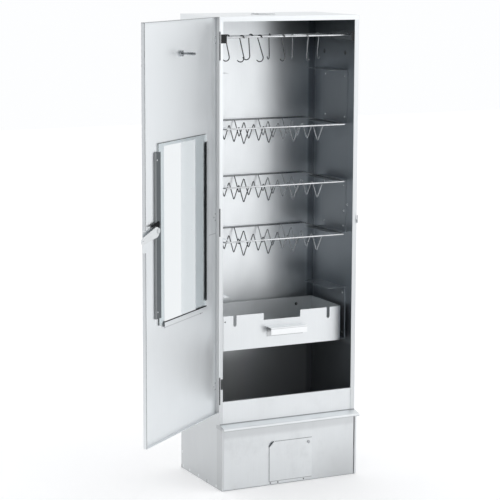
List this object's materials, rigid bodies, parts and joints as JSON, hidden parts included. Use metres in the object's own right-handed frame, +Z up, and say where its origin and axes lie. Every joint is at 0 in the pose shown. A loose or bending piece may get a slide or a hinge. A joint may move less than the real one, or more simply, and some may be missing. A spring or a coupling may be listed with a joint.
{
  "type": "vertical cabinet smoker",
  "caption": "Tall sheet-steel smoking cabinet with an open glazed door, wire racks, hook rods with S-hooks, a drip tray, a fire drawer with an air flap and a top vent.",
  "frame": {"origin": "centre of the body's footprint on the floor, without the fire drawer's projection", "axes": "+Z up, -Y the way the door opening faces, +X to the right seen from the front"},
  "size_m": [0.7155, 0.5034, 1.2046],
  "materials": {
    "sheet": "pale aluminised sheet",
    "sheet_dark": "dull sheet",
    "wire": "drawn wire",
    "black": "black",
    "fittings": "zinc plated",
    "glass": "clear",
    "red": "matt red"
  },
  "bodies": {
    "cabinet": {"left_side": "sheet", "right_side": "sheet", "back_panel": "sheet", "top_panel": "sheet", "sill_panel": "sheet", "ledge": "sheet", "base_floor": "sheet_dark", "rail_left_lower": "sheet", "rail_left_middle": "sheet", "rail_left_upper": "sheet", "rail_right_lower": "sheet", "rail_right_middle": "sheet", "rail_right_upper": "sheet", "hook_bracket_left": "sheet_dark", "hook_bracket_right": "sheet_dark", "keeper": "sheet_dark", "hinge_leaf_lower": "fittings", "hinge_leaf_middle": "fittings", "hinge_leaf_upper": "fittings", "hinge_pins": "fittings", "vent_collar": "sheet"},
    "door": {"door_panel": "sheet", "channel_latch_side": "sheet_dark", "channel_hinge_side": "sheet_dark", "channel_bottom": "sheet", "hinge_strap_lower": "fittings", "hinge_strap_middle": "fittings", "hinge_strap_upper": "fittings", "dial_case": "fittings", "dial_lens": "glass", "stem_nut": "fittings", "latch_pivot": "fittings"},
    "latch": {"latch_lever": "fittings", "latch_spring": "black"},
    "needle": {"dial_needle": "red"},
    "window_glass": {"glass": "glass"},
    "vent_lid": {"vent_lid": "sheet"},
    "rack_top": {"rack_top_frame": "wire", "rack_top_wires": "wire"},
    "rack_middle": {"rack_middle_frame": "wire", "rack_middle_wires": "wire"},
    "rack_lower": {"rack_lower_frame": "wire", "rack_lower_wires": "wire"},
    "tray": {"tray": "sheet", "tray_handle": "sheet"},
    "drawer": {"drawer_box": "sheet_dark", "drawer_front": "sheet", "flap_rivet": "fittings"},
    "flap": {"flap": "sheet"},
    "rod_rear": {"hook_rod_rear": "wire"},
    "rod_front": {"hook_rod_front": "wire"},
    "hook_1": {"hook_1": "wire"},
    "hook_2": {"hook_2": "wire"},
    "hook_3": {"hook_3": "wire"},
    "hook_4": {"hook_4": "wire"},
    "hook_5": {"hook_5": "wire"},
    "hook_6": {"hook_6": "wire"},
    "hook_7": {"hook_7": "wire"},
    "hook_8": {"hook_8": "wire"},
    "hook_9": {"hook_9": "wire"}
  },
  "joints": [
    {"name": "door_hinge", "type": "hinge", "parent": "cabinet", "child": "door", "pos_m": [-0.1982, -0.1221, 0.703], "axis": [0, 0, -1], "range_deg": [-141, 29]},
    {"name": "latch_turn", "type": "hinge", "parent": "door", "child": "latch", "pos_m": [-0.45397, -0.32935, 0.716], "axis": [-0.6293, 0.7771, 0], "range_deg": [-13, 8]},
    {"name": "needle_turn", "type": "hinge", "parent": "door", "child": "needle", "pos_m": [-0.36148, -0.23541, 1.121], "axis": [0.6293, -0.7771, 0], "range_deg": [0, 270]},
    {"name": "glass_lift", "type": "slide", "parent": "door", "child": "window_glass", "axis": [0, 0, 1], "range_m": [0, 0.15]},
    {"name": "vent_swivel", "type": "hinge", "parent": "cabinet", "child": "vent_lid", "pos_m": [-0.046, 0, 1.2028], "axis": [0, 0, 1], "range_deg": [0, 90]},
    {"name": "rack_top_slide", "type": "slide", "parent": "cabinet", "child": "rack_top", "axis": [0, -1, 0], "range_m": [0, 0.2]},
    {"name": "rack_middle_slide", "type": "slide", "parent": "cabinet", "child": "rack_middle", "axis": [0, -1, 0], "range_m": [0, 0.2]},
    {"name": "rack_lower_slide", "type": "slide", "parent": "cabinet", "child": "rack_lower", "axis": [0, -1, 0], "range_m": [0, 0.2]},
    {"name": "tray_slide", "type": "slide", "parent": "cabinet", "child": "tray", "axis": [0, -1, 0], "range_m": [0, 0.16]},
    {"name": "drawer_slide", "type": "slide", "parent": "cabinet", "child": "drawer", "axis": [0, -1, 0], "range_m": [0, 0.2]},
    {"name": "flap_swing", "type": "hinge", "parent": "drawer", "child": "flap", "pos_m": [0.053, -0.1326, 0.103], "axis": [0, 1, 0], "range_deg": [0, 18]},
    {"name": "rod_rear_lift", "type": "slide", "parent": "cabinet", "child": "rod_rear", "axis": [0, 0, 1], "range_m": [0, 0.012]},
    {"name": "rod_front_lift", "type": "slide", "parent": "cabinet", "child": "rod_front", "axis": [0, 0, 1], "range_m": [0, 0.012]},
    {"name": "hook_1_swing", "type": "hinge", "parent": "rod_rear", "child": "hook_1", "pos_m": [-0.141, -0.04788, 1.148], "axis": [0.9947, 0.1032, 0], "range_deg": [-15, 15]},
    {"name": "hook_2_swing", "type": "hinge", "parent": "rod_front", "child": "hook_2", "pos_m": [-0.122, -0.091, 1.148], "axis": [1, 0, 0], "range_deg": [-15, 15]},
    {"name": "hook_3_swing", "type": "hinge", "parent": "rod_rear", "child": "hook_3", "pos_m": [-0.0725, -0.04077, 1.148], "axis": [0.9947, 0.1032, 0], "range_deg": [-15, 15]},
    {"name": "hook_4_swing", "type": "hinge", "parent": "rod_front", "child": "hook_4", "pos_m": [-0.072, -0.091, 1.148], "axis": [1, 0, 0], "range_deg": [-15, 15]},
    {"name": "hook_5_swing", "type": "hinge", "parent": "rod_rear", "child": "hook_5", "pos_m": [-0.0165, -0.03496, 1.148], "axis": [0.9947, 0.1032, 0], "range_deg": [-15, 15]},
    {"name": "hook_6_swing", "type": "hinge", "parent": "rod_front", "child": "hook_6", "pos_m": [-0.0065, -0.091, 1.148], "axis": [1, 0, 0], "range_deg": [-15, 15]},
    {"name": "hook_7_swing", "type": "hinge", "parent": "rod_rear", "child": "hook_7", "pos_m": [0.053, -0.02775, 1.148], "axis": [0.9947, 0.1032, 0], "range_deg": [-15, 15]},
    {"name": "hook_8_swing", "type": "hinge", "parent": "rod_front", "child": "hook_8", "pos_m": [0.062, -0.091, 1.148], "axis": [1, 0, 0], "range_deg": [-15, 15]},
    {"name": "hook_9_swing", "type": "hinge", "parent": "rod_rear", "child": "hook_9", "pos_m": [0.131, -0.01966, 1.148], "axis": [0.9947, 0.1032, 0], "range_deg": [-15, 15]}
  ]
}
